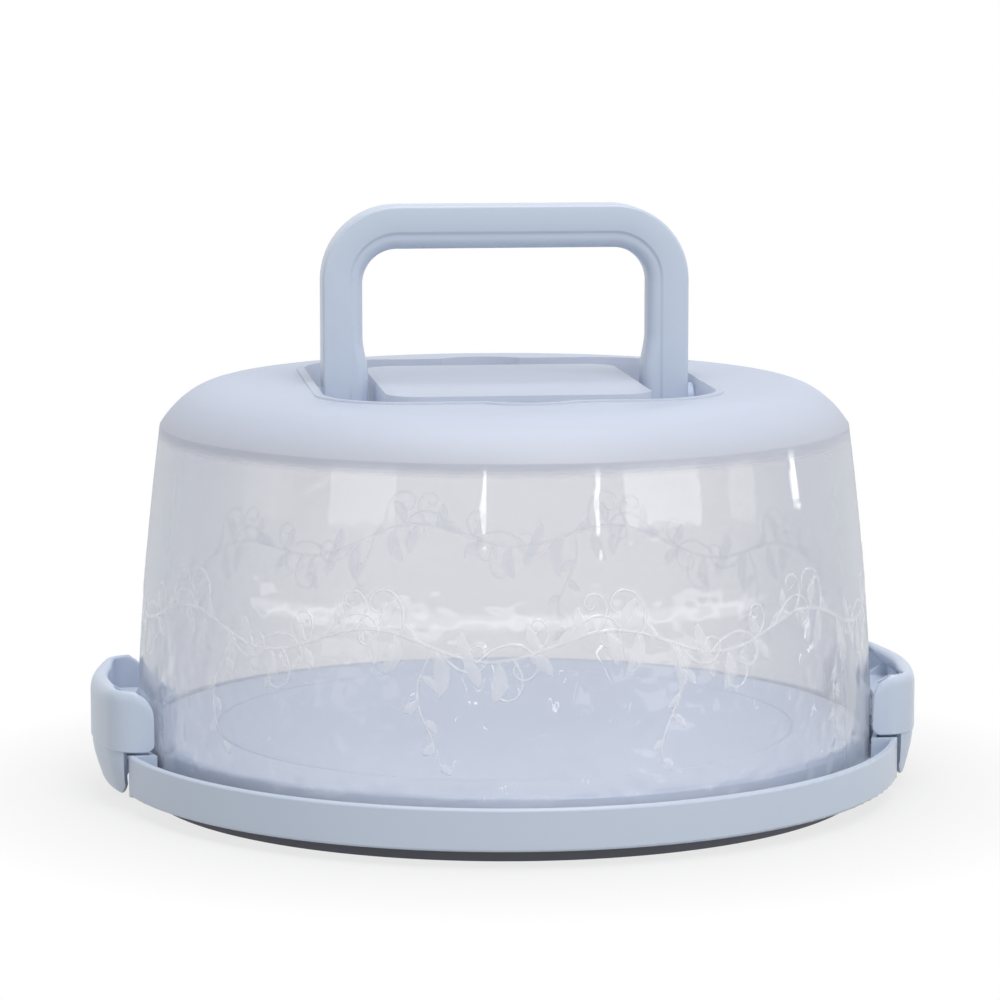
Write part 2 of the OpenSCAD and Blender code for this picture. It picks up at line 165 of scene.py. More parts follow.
def rim_path():
    # Half of the shell's plan, from the middle of the face to an ear's end: point, outward
    # direction, and the distance left to the ear's end.
    path = []
    for i in range(13):
        turn = corner_turn * i / 12
        path.append((BOW_U + BOW_R * math.cos(turn), BOW_R * math.sin(turn), turn))
    for i in range(1, 9):
        turn = corner_turn + (math.pi / 2 - corner_turn) * i / 8
        path.append((corner_u + CORNER_R * math.cos(turn), corner_v + CORNER_R * math.sin(turn), turn))
    for i in range(1, 15):
        along = math.sin(math.pi / 2 * i / 14)
        path.append((corner_u + (EAR_END - corner_u) * along, LATCH_HALF, math.pi / 2))
    return path


def ease(value):
    value = min(max(value, 0), 1)
    return value * value * (3 - 2 * value)


def quarter(radius, left):
    # How far a corner of this radius cuts back at this distance from the end.
    left = min(left, radius)
    return radius - math.sqrt(radius ** 2 - (radius - left) ** 2)


def rim_section(left, along):
    # Section through the shell: how far in from the outer face, and how high.
    thick = SHELL_T + (RIM_T - SHELL_T) * (1 - ease(along))
    top = LATCH_TOP - quarter(10 * MM, left)
    low = LATCH_LOW + quarter(3 * MM, left)
    over = thick * 0.55
    rise = min(6 * MM, top - low - 2 * MM) * (1 - 0.35 * ease(along))
    section = [(0, low + 0.5 * MM)]
    for i in range(9):
        turn = math.pi / 2 * i / 8
        section.append((over * (1 - math.cos(turn)), top - rise + rise * math.sin(turn)))
    edge = thick * 0.3
    for i in range(6):
        turn = math.pi / 2 * i / 5
        section.append((thick - edge + edge * math.sin(turn), top - edge + edge * math.cos(turn)))
    fade = 1 - ease(along)
    section.append((thick - (thick - SHELL_T) * 0.3, top - edge - 2.0 * MM * fade - 0.1 * MM))
    section.append((SHELL_T, top - edge - 4.5 * MM * fade - 0.2 * MM))
    section.append((SHELL_T, low + 0.5 * MM))
    section.append((SHELL_T - 0.5 * MM, low))
    section.append((0.5 * MM, low))
    return section


def extruded(outline, low, high, place):
    # A closed outline pushed from low to high; place turns (a, b, height) into a point.
    count = len(outline)
    points = [place(a, b, low) for a, b in outline] + [place(a, b, high) for a, b in outline]
    faces = [[i, (i + 1) % count, count + (i + 1) % count, count + i] for i in range(count)]
    faces += [list(range(count)), list(range(count, 2 * count))]
    return points, faces


def skinned(rows):
    # Closed sections joined one to the next, with the first and the last section filled.
    size = len(rows[0])
    points = [point for row in rows for point in row]
    faces = []
    for i in range(len(rows) - 1):
        for j in range(size):
            k = (j + 1) % size
            faces.append([i * size + j, i * size + k, (i + 1) * size + k, (i + 1) * size + j])
    faces.append(list(range(size)))
    faces.append([(len(rows) - 1) * size + j for j in range(size)])
    return points, faces


def arc_points(centre, radius, start, end, count):
    turns = [math.radians(start + (end - start) * i / count) for i in range(count + 1)]
    return [(centre[0] + radius * math.cos(turn), centre[1] + radius * math.sin(turn)) for turn in turns]


def latch_pieces(side):
    # The shell, the panel, the hook with its ribs, and the hinge webs, as one list of faces.
    points, faces = [], []

    def add(more_points, more_faces):
        start = len(points)
        points.extend(more_points)
        faces.extend([[start + i for i in face] for face in more_faces])

    half = rim_path()
    whole = [(u, -v, -turn) for u, v, turn in reversed(half[1:])] + half
    rows = []
    for u, v, turn in whole:
        left = max(u - EAR_END, 0)
        along = max(abs(v) - corner_v * 0.6, 0) / (LATCH_HALF - corner_v * 0.6)
        if abs(v) < LATCH_HALF - 0.01 * MM:
            left = 20 * MM
        row = []
        for inward, height in rim_section(left, along):
            row.append((u - inward * math.cos(turn), v - inward * math.sin(turn), height))
        rows.append(row)
    add(*skinned(rows))

    # Panel: bowed like the shell at its top, and drawn in to the round of the band at its foot.
    end_turn = math.asin((PANEL_HALF - corner_v) / CORNER_R)
    ends = [(u, v, turn) for u, v, turn in half if turn < end_turn - 0.05]
    ends.append((corner_u + CORNER_R * math.cos(end_turn), PANEL_HALF, end_turn))
    rows = []
    for u, v, turn in [(u, -v, -turn) for u, v, turn in reversed(ends[1:])] + ends:
        low = PANEL_LOW + quarter(3 * MM, PANEL_HALF - abs(v))
        proud = (u - math.sqrt(BAND_R ** 2 - v ** 2)) / (LATCH_OUT - BAND_R)
        row = []
        for drawn_in, deep, height in (
            (0, 0.4 * MM, LATCH_LOW + 0.4 * MM),
            (0, 0.6 * MM, LATCH_LOW - 0.3 * MM),
            (0, 0.6 * MM, 19 * MM),
            (0.5 * MM, 0.6 * MM, 16 * MM),
            (1.8 * MM, 0.6 * MM, 11.5 * MM),
            (3.2 * MM, 0.6 * MM, low + 1.4 * MM),
            (3.8 * MM, 0.6 * MM, low + 0.4 * MM),
            (3.9 * MM, 1.2 * MM, low),
            (3.9 * MM, 2.0 * MM, low),
            (3.8 * MM, 2.7 * MM, low + 0.6 * MM),
            (1.9 * MM, 2.8 * MM, 11.5 * MM),
            (0, 3.0 * MM, 19 * MM),
            (0, 3.0 * MM, LATCH_LOW + 0.4 * MM),
        ):
            inward = drawn_in * proud + deep
            row.append((u - inward * math.cos(turn), v - inward * math.sin(turn), max(height, low)))
        rows.append(row)
    add(*skinned(rows))

    # Hook: a plate that follows the lid's ledge, held to the face by three ribs.
    face_in = BOW_R - SHELL_T / 2
    hook_start = math.degrees(math.asin(HOOK_HALF / HOOK_R))
    face_start = math.degrees(math.asin(HOOK_HALF / face_in))
    hook = arc_points((0, 0), HOOK_R, -hook_start, hook_start, 12)
    hook += arc_points((BOW_U, 0), face_in, face_start, -face_start, 12)
    add(*extruded(hook, HOOK_LOW, HOOK_LOW + HOOK_T, lambda u, v, z: (u, v, z)))
    for i in (-1, 0, 1):
        v = i * HOOK_HALF * 0.7
        root = BOW_U + math.sqrt(face_in ** 2 - v ** 2)
        rib = [(HOOK_R + 2 * MM, HOOK_LOW + HOOK_T / 2), (root, HOOK_LOW + HOOK_T / 2)]
        rib += [(root, LATCH_TOP - 6 * MM), (root - 3.4 * MM, LATCH_TOP - 6 * MM)]
        add(*extruded(rib, v - HOOK_T / 2, v + HOOK_T / 2, lambda u, z, y: (u, y, z)))

    # Hinge: two webs on the panel, each with a stub that runs in the tray's lug.
    web_u = BOW_U + BOW_R - 0.6 * MM - PANEL_T / 2
    web = arc_points((HINGE_U, HINGE_Z), WEB_R, 90, 270, 12)
    web += [(web_u - 3.2 * MM, HINGE_Z - WEB_R), (web_u - 1.2 * MM, HINGE_Z + WEB_R)]
    for hand in (-1, 1):
        add(*extruded(web, hand * WEB_FROM, hand * WEB_TO, lambda u, z, y: (u, y, z)))
        stub = arc_points((HINGE_U, HINGE_Z), STUB_R, 0, 345, 23)
        add(*extruded(stub, hand * STUB_FROM, hand * STUB_TO, lambda u, z, y: (u, y, z)))

    return [(side * u, side * v, z) for u, v, z in points], faces


for name, side in (("latch_left", -1), ("latch_right", 1)):
    points, faces = latch_pieces(side)
    shell = mesh_piece(name + "_shell", points, faces, blue_plastic)
    crease = shell.modifiers.new("creases", "EDGE_SPLIT")
    crease.split_angle = LATCH_CREASE
    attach(shell, name)
    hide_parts(name)


# ---- Lid ----------------------------------------------------------------------------------------
# The lid is one thin moulding in clear, slightly milky plastic. The mould is polished round the
# wall and blasted from the shoulder up, so the whole top with its recess is frosted.
FROST_FROM = 128.5 * MM
FROST_FULL = 134.5 * MM
TOP_INNER = 110 * MM
MILKINESS = 0.13
EDGE_MILK_AND_SHADE = 0.6
RIPPLE_SIZE = 11 * MM
RIPPLE_DEEP = 3.6 * MM
RIPPLE_TOP = 74 * MM
RIPPLE_FULL = 50 * MM
RIPPLE_LEAST = 0.05
SHOULDER_SHADE_TOP = 147 * MM


def node_math(made, first, operation, second):
    node = add_node(made, "Math")
    node.operation = operation
    for slot, value in ((0, first), (1, second)):
        if isinstance(value, (int, float)):
            node.inputs[slot].default_value = value
        else:
            join(made, value, node.inputs[slot])
    return node.outputs[0]


def mix_shaders(made, share, first, second):
    node = add_node(made, "MixShader")
    if isinstance(share, float):
        node.inputs[0].default_value = share
    else:
        join(made, share, node.inputs[0])
    join(made, first, node.inputs[1])
    join(made, second, node.inputs[2])
    return node.outputs["Shader"]


clear_plastic = new_material("clear_and_frosted_plastic")
facing = add_node(clear_plastic, "LayerWeight", Blend=0.5)
# The wall's tint darkens where the wall is seen edge-on: these darker stops are painted shade, for the dark
# room that the wall's edges mirror.
wall_tint_and_edge_shade = add_node(clear_plastic, "ValToRGB")
wall_and_edge_shade_stops = wall_tint_and_edge_shade.color_ramp.elements
wall_and_edge_shade_stops[0].position, wall_and_edge_shade_stops[0].color = 0.10, screen_colour(239, 238, 238)
wall_and_edge_shade_stops[1].position, wall_and_edge_shade_stops[1].color = 0.50, screen_colour(203, 206, 214)
wall_and_edge_shade_stops.new(0.84).color = screen_colour(162, 175, 183)
join(clear_plastic, facing.outputs["Facing"], wall_tint_and_edge_shade.inputs["Fac"])
wall_skin = add_node(clear_plastic, "BsdfPrincipled", Roughness=0.03, IOR=1.49, Transmission_Weight=1.0)
join(clear_plastic, wall_tint_and_edge_shade.outputs["Color"], wall_skin.inputs["Base Color"])
place = add_node(clear_plastic, "TexCoord")
split = add_node(clear_plastic, "SeparateXYZ")
join(clear_plastic, place.outputs["Object"], split.inputs["Vector"])

# The coat over the polished wall is slightly wavy, most of all in its lower part.
ripple = add_node(clear_plastic, "TexNoise", Scale=1 / RIPPLE_SIZE, Detail=1.0)
join(clear_plastic, place.outputs["Object"], ripple.inputs["Vector"])
ripple_share = add_node(clear_plastic, "MapRange", From_Min=RIPPLE_TOP, From_Max=RIPPLE_FULL)
ripple_share.inputs["To Min"].default_value = RIPPLE_LEAST
join(clear_plastic, split.outputs["Z"], ripple_share.inputs["Value"])
wave = node_math(clear_plastic, ripple.outputs["Fac"], "MULTIPLY", ripple_share.outputs["Result"])
ripple_bump = add_node(clear_plastic, "Bump", Strength=1.0, Distance=RIPPLE_DEEP)
join(clear_plastic, wave, ripple_bump.inputs["Height"])
wall_skin.inputs["Coat Weight"].default_value = 1.0
join(clear_plastic, ripple_bump.outputs["Normal"], wall_skin.inputs["Coat Normal"])

# The plastic is faintly milky, and looks denser where the wall is seen along its length; the grey
# of that milk towards the wall's edges is also painted shade, for the dark room the edges mirror.
milk_and_edge_shade_share = add_node(clear_plastic, "MapRange", From_Min=0.55, From_Max=0.95)
milk_and_edge_shade_share.inputs["To Min"].default_value = MILKINESS
milk_and_edge_shade_share.inputs["To Max"].default_value = EDGE_MILK_AND_SHADE
join(clear_plastic, facing.outputs["Facing"], milk_and_edge_shade_share.inputs["Value"])
milk_and_edge_shade_tint = add_node(clear_plastic, "ValToRGB")
milk_and_edge_shade_stops = milk_and_edge_shade_tint.color_ramp.elements
milk_and_edge_shade_stops[0].position, milk_and_edge_shade_stops[0].color = 0.55, screen_colour(240, 241, 246)
milk_and_edge_shade_stops[1].position, milk_and_edge_shade_stops[1].color = 0.95, screen_colour(184, 191, 201)
join(clear_plastic, facing.outputs["Facing"], milk_and_edge_shade_tint.inputs["Fac"])
milk = add_node(clear_plastic, "BsdfDiffuse")
milk_through = add_node(clear_plastic, "BsdfTranslucent")
join(clear_plastic, milk_and_edge_shade_tint.outputs["Color"], milk.inputs["Color"])
join(clear_plastic, milk_and_edge_shade_tint.outputs["Color"], milk_through.inputs["Color"])
milk_both = mix_shaders(clear_plastic, 0.5, milk.outputs["BSDF"], milk_through.outputs["BSDF"])
cloudy = milk_and_edge_shade_share.outputs["Result"]
clear_wall = mix_shaders(clear_plastic, cloudy, wall_skin.outputs["BSDF"], milk_both)
clear_shadow = add_node(clear_plastic, "BsdfTransparent", Color=screen_colour(251, 251, 253))

frost_skin = add_node(clear_plastic, "BsdfPrincipled", Roughness=0.42)
join(clear_plastic, moulded_grain(clear_plastic, 0.5 * MM, 0.01 * MM), frost_skin.inputs["Normal"])
frost_glow = add_node(clear_plastic, "BsdfTranslucent", Color=screen_colour(214, 219, 228))
frosted = mix_shaders(clear_plastic, 0.35, frost_skin.outputs["BSDF"], frost_glow.outputs["BSDF"])
frost_shadow = add_node(clear_plastic, "BsdfTransparent", Color=screen_colour(227, 230, 237))

# The frosted skin is darker and greyer low on the shoulder and lighter and bluer on top: partly the
# frosting's own tint, partly painted shade on the shoulder, which faces away from the lamps above.
shoulder_shade_rise = add_node(clear_plastic, "MapRange", From_Min=FROST_FULL, From_Max=SHOULDER_SHADE_TOP)
join(clear_plastic, split.outputs["Z"], shoulder_shade_rise.inputs["Value"])
frost_tint_and_shoulder_shade = add_node(clear_plastic, "ValToRGB")
frost_tint_and_shoulder_shade.color_ramp.elements[0].color = screen_colour(199, 201, 208)
frost_tint_and_shoulder_shade.color_ramp.elements[1].color = screen_colour(207, 213, 224)
join(clear_plastic, shoulder_shade_rise.outputs["Result"], frost_tint_and_shoulder_shade.inputs["Fac"])
join(clear_plastic, frost_tint_and_shoulder_shade.outputs["Color"], frost_skin.inputs["Base Color"])

# Frosted are the top inside the shoulder, and the wall from the shoulder up, with a soft edge.
east = node_math(clear_plastic, split.outputs["X"], "POWER", 2)
north = node_math(clear_plastic, split.outputs["Y"], "POWER", 2)
outward = node_math(clear_plastic, east, "ADD", north)
is_inner = node_math(clear_plastic, outward, "LESS_THAN", TOP_INNER ** 2)
is_high = add_node(clear_plastic, "MapRange", From_Min=FROST_FROM, From_Max=FROST_FULL)
is_high.interpolation_type = "SMOOTHSTEP"
join(clear_plastic, split.outputs["Z"], is_high.inputs["Value"])
is_frosted = node_math(clear_plastic, is_inner, "MAXIMUM", is_high.outputs["Result"])
ray = add_node(clear_plastic, "LightPath")
lid_look = mix_shaders(clear_plastic, is_frosted, clear_wall, frosted)
shadows = clear_shadow.outputs["BSDF"], frost_shadow.outputs["BSDF"]
lid_shadow = mix_shaders(clear_plastic, is_frosted, *shadows)
finish(clear_plastic, mix_shaders(clear_plastic, ray.outputs["Is Shadow Ray"], lid_look, lid_shadow))
dress(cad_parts["lid_dome"], clear_plastic)


# ---- Frosted vine -------------------------------------------------------------------------------
# A plain running vine of leaves and tendrils round the wall. It is cut and frosted in the mould,
# so it stands a hair's breadth proud of the clear plastic.
WALL_ARC_R = 1190 * MM
WALL_ARC_Z = -25 * MM
WALL_R = 134.7 * MM
WALL_FROM = 40 * MM
VINE_Z = 73 * MM
VINE_SWING = 5 * MM
VINE_REPEATS = 10
PROUD = 0.28 * MM
MEAN_R = 133 * MM
STEM_W = 1.4 * MM
SPRAY_LONG = 40 * MM
CURL_STEPS = 40
VINE_DENSITY = 0.30


def wall_radius(height):
    if height < WALL_FROM:
        return WALL_R
    rise = math.sqrt(WALL_ARC_R ** 2 - (height - WALL_ARC_Z) ** 2)
    return WALL_R + rise - math.sqrt(WALL_ARC_R ** 2 - (WALL_FROM - WALL_ARC_Z) ** 2)


def on_wall(along, height, lift):
    reach = wall_radius(height) + lift
    turn = along / MEAN_R
    return (reach * math.sin(turn), -reach * math.cos(turn), height)


def raised_strip(route, widths):
    # A strip with a rounded back along a route of (along, height), as wide as the list says.
    points, faces = [], []
    across = (-1, -0.6, 0, 0.6, 1)
    for i, (along, height) in enumerate(route):
        before = route[max(i - 1, 0)]
        after = route[min(i + 1, len(route) - 1)]
        run, rise = after[0] - before[0], after[1] - before[1]
        length = math.hypot(run, rise) or 1
        for step in across:
            side = step * widths[i] / 2
            lift = PROUD * (1 - step ** 2) * min(1, widths[i] / (1.2 * MM)) - 0.03 * MM
            points.append(on_wall(along - rise / length * side, height + run / length * side, lift))
    for i in range(len(route) - 1):
        for j in range(4):
            k = i * 5 + j
            faces.append([k, k + 1, k + 6, k + 5])
    return points, faces


def leaf(along, height, angle, length, width):
    # A leaf from its stalk's end, pointed at both ends and bent a little to one side.
    turn = math.radians(angle)
    route, widths = [], []
    for i in range(15):
        t = i / 14
        x, y = length * t, 0.12 * length * math.sin(math.pi * t)
        run = x * math.cos(turn) - y * math.sin(turn)
        rise = x * math.sin(turn) + y * math.cos(turn)
        route.append((along + run, height + rise))
        widths.append(width * math.sin(math.pi * t) ** 0.8 + 0.05 * MM)
    return raised_strip(route, widths)


def tendril(along, height, angle, size, hand):
    # A stalk that rolls up into a curl.
    route, widths = [], []
    x, y, heading = along, height, math.radians(angle)
    for i in range(CURL_STEPS + 1):
        t = i / CURL_STEPS
        route.append((x, y))
        widths.append(1.3 * MM * (1 - 0.45 * t) if i < CURL_STEPS else 0.2 * MM)
        stride = size * 2.9 / CURL_STEPS * (1 - 0.55 * t)
        heading += hand * math.radians(3 + 15 * t)
        x += stride * math.cos(heading)
        y += stride * math.sin(heading)
    return raised_strip(route, widths)


vine_points, vine_faces = [], []


def vine_add(strip):
    start = len(vine_points)
    vine_points.extend(strip[0])
    vine_faces.extend([[start + i for i in face] for face in strip[1]])


repeat = 2 * math.pi * MEAN_R / VINE_REPEATS
stem_steps = 24 * VINE_REPEATS


def stem_height(along):
    return VINE_Z + VINE_SWING * math.sin(2 * math.pi * along / repeat)


stem = [(repeat * VINE_REPEATS * i / stem_steps, 0) for i in range(stem_steps + 1)]
stem = [(along, stem_height(along)) for along, height in stem]
vine_add(raised_strip(stem, [STEM_W] * len(stem)))
for n in range(VINE_REPEATS):
    start = n * repeat
    for share, angle, size, hand in (
        (0.06, 62, 19, -1),
        (0.18, 40, 13, 1),
        (0.38, 70, 17, 1),
        (0.55, -62, 16, 1),
        (0.70, 48, 20, -1),
        (0.84, -48, 14, -1),
        (0.92, 25, 12, 1),
    ):
        along = start + share * repeat
        vine_add(tendril(along, stem_height(along), angle, size * MM, hand))
    for share, angle, length, width in (
        (0.02, 20, 11, 4.4),
        (0.14, 105, 10, 4.0),
        (0.22, -72, 13, 5.0),
        (0.30, 64, 12, 4.4),
        (0.36, -108, 15, 5.2),
        (0.46, 130, 9, 3.8),
        (0.52, -84, 17, 5.4),
        (0.63, -60, 12, 4.6),
        (0.68, 112, 11, 4.2),
        (0.78, -98, 14, 5.0),
        (0.90, -40, 11, 4.4),
        (0.96, 118, 10, 4.0),
    ):
        along = start + share * repeat
        vine_add(leaf(along, stem_height(along), angle, length * MM, width * MM))
    # A drooping spray below the stem, clear of the latches at the two sides.
    along = start + 0.5 * repeat
    if abs(math.cos(along / MEAN_R)) > 0.5:
        spray = []
        for i in range(17):
            t = i / 16
            spray.append((along + 4 * MM * math.sin(5 * t + n), stem_height(along) - SPRAY_LONG * t))
        vine_add(raised_strip(spray, [1.2 * MM * (1 - 0.5 * i / 16) for i in range(17)]))
        for i in (4, 7, 10, 13, 16):
            x, height = spray[i]
            vine_add(leaf(x, height, -135 if i % 2 else -45, (9 - i * 0.25) * MM, 3.4 * MM))

frosted_vine = new_material("frosted_vine")
vine_skin = add_node(frosted_vine, "BsdfPrincipled", Base_Color=screen_colour(244, 246, 250), Roughness=0.10)
vine_skin.inputs["Coat Weight"].default_value = 1.0
vine_skin.inputs["Specular IOR Level"].default_value = 1.0
join(frosted_vine, moulded_grain(frosted_vine, 1.5 * MM, 0.02 * MM), vine_skin.inputs["Normal"])
vine_clear = add_node(frosted_vine, "BsdfTransparent", Color=(1, 1, 1, 1))
vine_looks = vine_clear.outputs["BSDF"], vine_skin.outputs["BSDF"]
finish(frosted_vine, mix_shaders(frosted_vine, VINE_DENSITY, *vine_looks))
vine = mesh_piece("frosted_vine", vine_points, vine_faces, frosted_vine)
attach(vine, "lid")


# ---- Handle -------------------------------------------------------------------------------------
# A flat loop in the blue plastic whose two feet turn on stubs in blind sockets of the lid's
# recess. Both faces have a shallow step, and inside it the edge of the opening is rolled round
# for the hand. It is sprung in over the plateau and folds down to either side.
HANDLE_HALF = 66.9 * MM
HANDLE_TOP = 213.5 * MM
HANDLE_THICK = 16 * MM
LEG_W = 14.7 * MM
BAR_H = 15.8 * MM
OUTER_R = 27.5 * MM
INNER_R = 12.5 * MM
STEP_AT = 9.8 * MM
STEP_DEEP = 0.8 * MM
EDGE_R = 1.1 * MM
ROLL_ACROSS = 4.2 * MM
ROLL_DEEP = 4.6 * MM
FLARE = 1.9 * MM
FLARE_TOP = 166 * MM
FLARE_LOW = 152 * MM
PIVOT_Z = 141.5 * MM
HANDLE_CREASE = math.radians(40)


def handle_section(width):
    # Half of the section, from the middle of the outer edge to the middle of the inner one.
    half = HANDLE_THICK / 2
    section = [(0, 0), (0, half - EDGE_R)]
    for i in range(1, 5):
        turn = math.pi / 2 * i / 4
        section.append((EDGE_R * (1 - math.cos(turn)), half - EDGE_R + EDGE_R * math.sin(turn)))
    section.append((STEP_AT - 0.5 * MM, half))
    section.append((STEP_AT - 0.1 * MM, half - 0.12 * MM))
    section.append((STEP_AT + 0.35 * MM, half - STEP_DEEP + 0.1 * MM))
    section.append((STEP_AT + 0.7 * MM, half - STEP_DEEP))
    across = min(ROLL_ACROSS, width - STEP_AT - 0.7 * MM)
    for i in range(9):
        turn = math.pi / 2 * i / 8
        inward = width - across + across * math.sin(turn)
        section.append((inward, half - STEP_DEEP - ROLL_DEEP + ROLL_DEEP * math.cos(turn)))
    section.append((width, 0))
    return section


def handle_stations():
    # From one foot to the top's middle: outer point, inner point, and the share of thickness.
    stations = []
    for i in range(9):
        turn = math.pi / 2 * (1 - i / 9)
        height = PIVOT_Z - HANDLE_THICK / 2 * math.sin(turn)
        stations.append((height, max(math.cos(turn), 0.02)))
    for i in range(25):
        height = PIVOT_Z + (HANDLE_TOP - OUTER_R - PIVOT_Z) * i / 24
        stations.append((height, 1))
    path = []
    for height, share in stations:
        flare = FLARE * ease((FLARE_TOP - height) / (FLARE_TOP - FLARE_LOW))
        path.append(((HANDLE_HALF, height), (HANDLE_HALF - LEG_W - flare, height), share))
    outer_c = (HANDLE_HALF - OUTER_R, HANDLE_TOP - OUTER_R)
    inner_c = (HANDLE_HALF - LEG_W - INNER_R, HANDLE_TOP - BAR_H - INNER_R)
    for i in range(1, 17):
        c, s = math.cos(math.pi / 2 * i / 16), math.sin(math.pi / 2 * i / 16)
        outer = (outer_c[0] + OUTER_R * c, outer_c[1] + OUTER_R * s)
        inner = (inner_c[0] + INNER_R * c, inner_c[1] + INNER_R * s)
        path.append((outer, inner, 1))
    for i in range(1, 5):
        share = 1 - i / 4
        path.append(((outer_c[0] * share, HANDLE_TOP), (inner_c[0] * share, HANDLE_TOP - BAR_H), 1))
    return path


stations = handle_stations()
for outer, inner, share in reversed(stations[:-1]):
    stations.append(((-outer[0], outer[1]), (-inner[0], inner[1]), share))
rows = []
for outer, inner, share in stations:
    width = math.hypot(inner[0] - outer[0], inner[1] - outer[1])
    half = handle_section(width)
    loop = half + [(across, -deep) for across, deep in reversed(half[1:-1])]
    row = []
    for across, deep in loop:
        part = across / width
        x = outer[0] + (inner[0] - outer[0]) * part
        z = outer[1] + (inner[1] - outer[1]) * part
        row.append((x, -deep * share, z))
    rows.append(row)
points, faces = skinned(rows)


def turned_pin(profile, count):
    # A pin turned about the pivot's line, from a list of (x, radius).
    rows = []
    for x, radius in profile:
        turns = [2 * math.pi * i / count for i in range(count)]
        rows.append([(x, radius * math.cos(turn), PIVOT_Z + radius * math.sin(turn)) for turn in turns])
    return skinned(rows)


for hand in (-1, 1):
    pin = [(65.0, 6.0), (69.3, 6.0), (69.6, 5.7), (69.6, 3.5), (73.4, 3.5), (73.8, 3.1)]
    pin_points, pin_faces = turned_pin([(hand * x * MM, radius * MM) for x, radius in pin], 32)
    start = len(points)
    points += pin_points
    faces += [[start + i for i in face] for face in pin_faces]

loop_handle = mesh_piece("handle_loop", points, faces, blue_plastic)
crease = loop_handle.modifiers.new("creases", "EDGE_SPLIT")
crease.split_angle = HANDLE_CREASE
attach(loop_handle, "handle")
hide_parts("handle")


# ---- Studio -------------------------------------------------------------------------------------
# A white floor that runs into a white background, tall lit screens like windows behind and
# beside the camera, a low strip of light in front of them, and two soft lamps above.
FLOOR_REACH = 30.0
WHITE_FROM = 0.15
WHITE_AT = 0.22
FLOOR_GREY = 0.52
FLOOR_GLOW = 0.76
ROOM_LEVEL = 0.37

floor_mesh = bpy.data.meshes.new("floor")
corners = [(x * FLOOR_REACH, y * FLOOR_REACH, 0) for x, y in ((-1, -1), (1, -1), (1, 1), (-1, 1))]
floor_mesh.from_pydata(corners, [], [(0, 1, 2, 3)])
floor = bpy.data.objects.new("floor", floor_mesh)
bpy.context.scene.collection.objects.link(floor)
white_floor = new_material("white_floor")
board = add_node(white_floor, "BsdfDiffuse", Color=(FLOOR_GREY, FLOOR_GREY, FLOOR_GREY, 1))
glow = add_node(white_floor, "Emission", Color=(1, 1, 1, 1), Strength=1.0)
spot = add_node(white_floor, "TexCoord")
spread = add_node(white_floor, "VectorMath")
spread.operation = "LENGTH"
join(white_floor, spot.outputs["Object"], spread.inputs[0])
fade = add_node(white_floor, "MapRange", From_Min=WHITE_FROM, From_Max=WHITE_AT, To_Min=FLOOR_GLOW)
join(white_floor, spread.outputs["Value"], fade.inputs["Value"])
seen_by = add_node(white_floor, "LightPath").outputs
seen = node_math(white_floor, seen_by["Is Camera Ray"], "MAXIMUM", seen_by["Is Glossy Ray"])
seen = node_math(white_floor, seen, "MAXIMUM", seen_by["Is Transmission Ray"])
whiten = node_math(white_floor, seen, "MULTIPLY", fade.outputs["Result"])
floor_mix = add_node(white_floor, "MixShader")
join(white_floor, whiten, floor_mix.inputs[0])
join(white_floor, board.outputs["BSDF"], floor_mix.inputs[1])
join(white_floor, glow.outputs["Emission"], floor_mix.inputs[2])
finish(white_floor, floor_mix.outputs["Shader"])
dress(floor, white_floor)

room = bpy.data.worlds.new("room")
bpy.context.scene.world = room
room.use_nodes = True
sky = room.node_tree.nodes["Background"]
sky.inputs["Color"].default_value = (1, 1, 1, 1)
room_ray = room.node_tree.nodes.new("ShaderNodeLightPath")


def room_math(first, operation, second):
    node = room.node_tree.nodes.new("ShaderNodeMath")
    node.operation = operation
    for slot, value in ((0, first), (1, second)):
        if isinstance(value, float):
            node.inputs[slot].default_value = value
        else:
            room.node_tree.links.new(value, node.inputs[slot])
    return node.outputs[0]


shown = room_math(room_ray.outputs["Is Camera Ray"], "MAXIMUM", room_ray.outputs["Is Glossy Ray"])
shown = room_math(shown, "MAXIMUM", room_ray.outputs["Is Transmission Ray"])
level = room_math(room_math(shown, "MULTIPLY", 1 - ROOM_LEVEL), "ADD", ROOM_LEVEL)
room.node_tree.links.new(level, sky.inputs["Strength"])

CAMERA_BACK = 1400 * MM
CAMERA_UP = 295.9 * MM
CAMERA_TURN = math.radians(7)
CAMERA_PITCH = math.radians(7.77)
FOCAL_PX = 3845.9
AXIS_PX = 4.36
LAMP_BACK = 2.6
WINDOW_FOOT = 111 * MM
WINDOW_TOP = 1.6
STRIP_FOOT = 79 * MM
STRIP_TOP = 84 * MM


def mirrored_height(turn, wall_height):
    # The height of what the lid's wall mirrors to the camera from this height of the wall.
    lean = math.asin((wall_height - WALL_ARC_Z) / WALL_ARC_R)
    sight = math.atan2(CAMERA_UP - wall_height, CAMERA_BACK - MEAN_R)
    facing_us = math.cos(math.radians(turn) / 2) * math.cos(sight - lean)
    climb = math.asin(2 * facing_us * math.sin(lean) - math.sin(sight))
    return max(wall_height + (LAMP_BACK - MEAN_R) * math.tan(climb), 1 * MM)


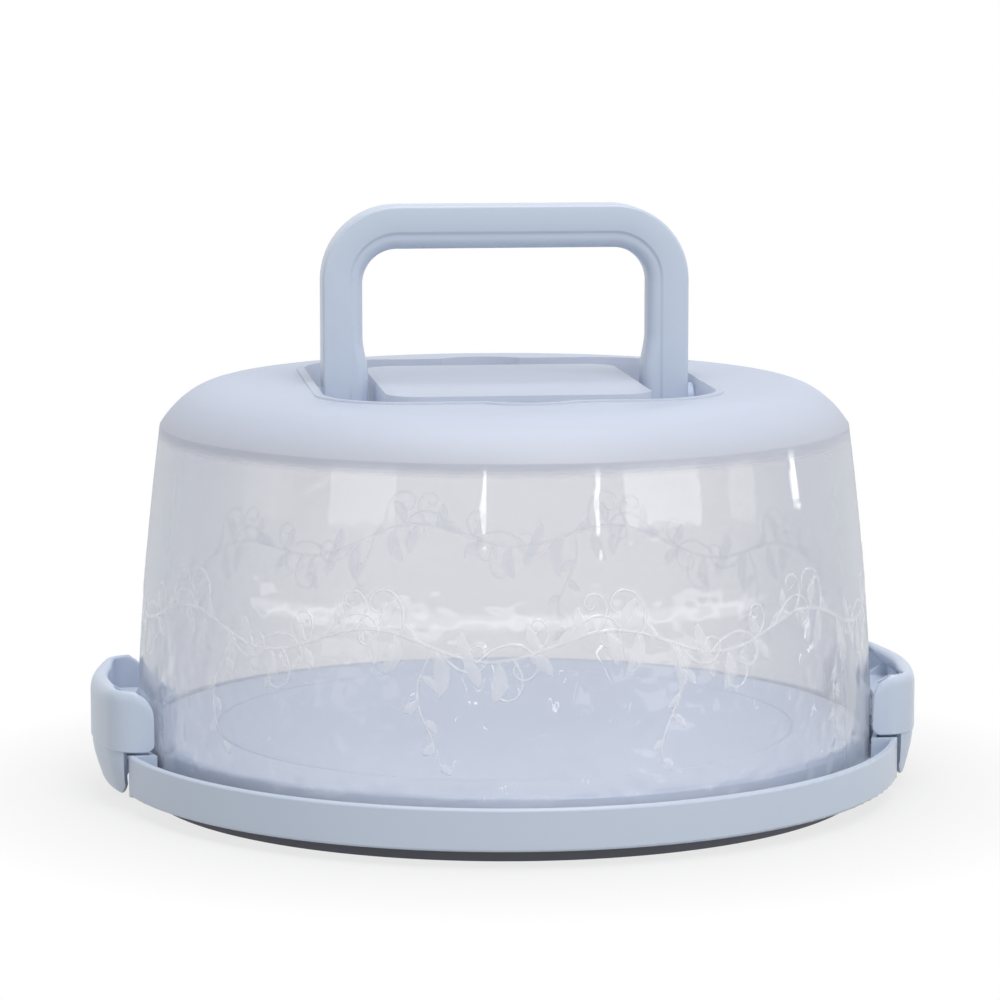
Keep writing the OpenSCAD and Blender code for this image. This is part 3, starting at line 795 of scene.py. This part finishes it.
def light_wall(name, start, end, foot, top, radiance):
    # A curved lit screen round the carrier, between two turns to the right of the camera. Its
    # lower edge is where the lid's wall mirrors it at the height called foot.
    steps = max(2, int(abs(end - start) / 3))
    points, faces = [], []
    for i in range(steps + 1):
        turn = start + (end - start) * i / steps
        angle = math.radians(turn) - CAMERA_TURN
        x, y = LAMP_BACK * math.sin(angle), -LAMP_BACK * math.cos(angle)
        high = mirrored_height(turn, top) if top < CAMERA_UP else top
        points += [(x, y, mirrored_height(turn, foot)), (x, y, high)]
        if i < steps:
            faces.append((2 * i, 2 * i + 2, 2 * i + 3, 2 * i + 1))
    mesh = bpy.data.meshes.new(name)
    mesh.from_pydata(points, [], faces)
    screen = bpy.data.objects.new(name, mesh)
    bpy.context.scene.collection.objects.link(screen)
    lit = new_material(name)
    light = add_node(lit, "Emission", Color=(1, 1, 1, 1), Strength=radiance)
    finish(lit, light.outputs["Emission"])
    dress(screen, lit)
    screen.visible_camera = False
    screen.visible_transmission = False


for name, start, end, radiance in (
    ("window_far_left", -90, -76, 1.2),
    ("window_left", -56, -34, 1.9),
    ("window_slit_left", -6.5, -5.5, 8.5),
    ("window_slit_right", 28.5, 29.5, 8.5),
    ("window_right", 38, 64, 2.6),
    ("window_far_right", 75, 86, 1.6),
    ("window_slit_far_right", 104, 107, 5.0),
):
    light_wall(name, start, end, WINDOW_FOOT, WINDOW_TOP, radiance)
light_wall("low_strip", -84, 90, STRIP_FOOT, STRIP_TOP, 3.0)


def soft_lamp(name, turn, back, up, size, radiance):
    lamp = bpy.data.lights.new(name, "AREA")
    lamp.size = size
    lamp.energy = radiance * math.pi * size ** 2
    stand = bpy.data.objects.new(name, lamp)
    angle = math.radians(turn) - CAMERA_TURN
    stand.location = (back * math.sin(angle), -back * math.cos(angle), up)
    aim = Vector((0, 0, 100 * MM)) - stand.location
    stand.rotation_euler = aim.to_track_quat("-Z", "Y").to_euler()
    bpy.context.scene.collection.objects.link(stand)


soft_lamp("overhead", 0, 0.3, 2.2, 1.6, 2.8)
soft_lamp("key", 27, 1.8, 2.4, 1.2, 5.3)

camera = bpy.data.objects.new("camera", bpy.data.cameras.new("camera"))
camera.location = (-CAMERA_BACK * math.sin(CAMERA_TURN), -CAMERA_BACK * math.cos(CAMERA_TURN), CAMERA_UP)
camera.rotation_euler = (math.radians(90) - CAMERA_PITCH, 0, -CAMERA_TURN)
camera.data.sensor_width = 36
camera.data.lens = FOCAL_PX / 1000 * 36
camera.data.shift_x = -AXIS_PX / 1000
bpy.context.scene.collection.objects.link(camera)
bpy.context.scene.camera = camera
bpy.context.scene.view_settings.view_transform = "Standard"
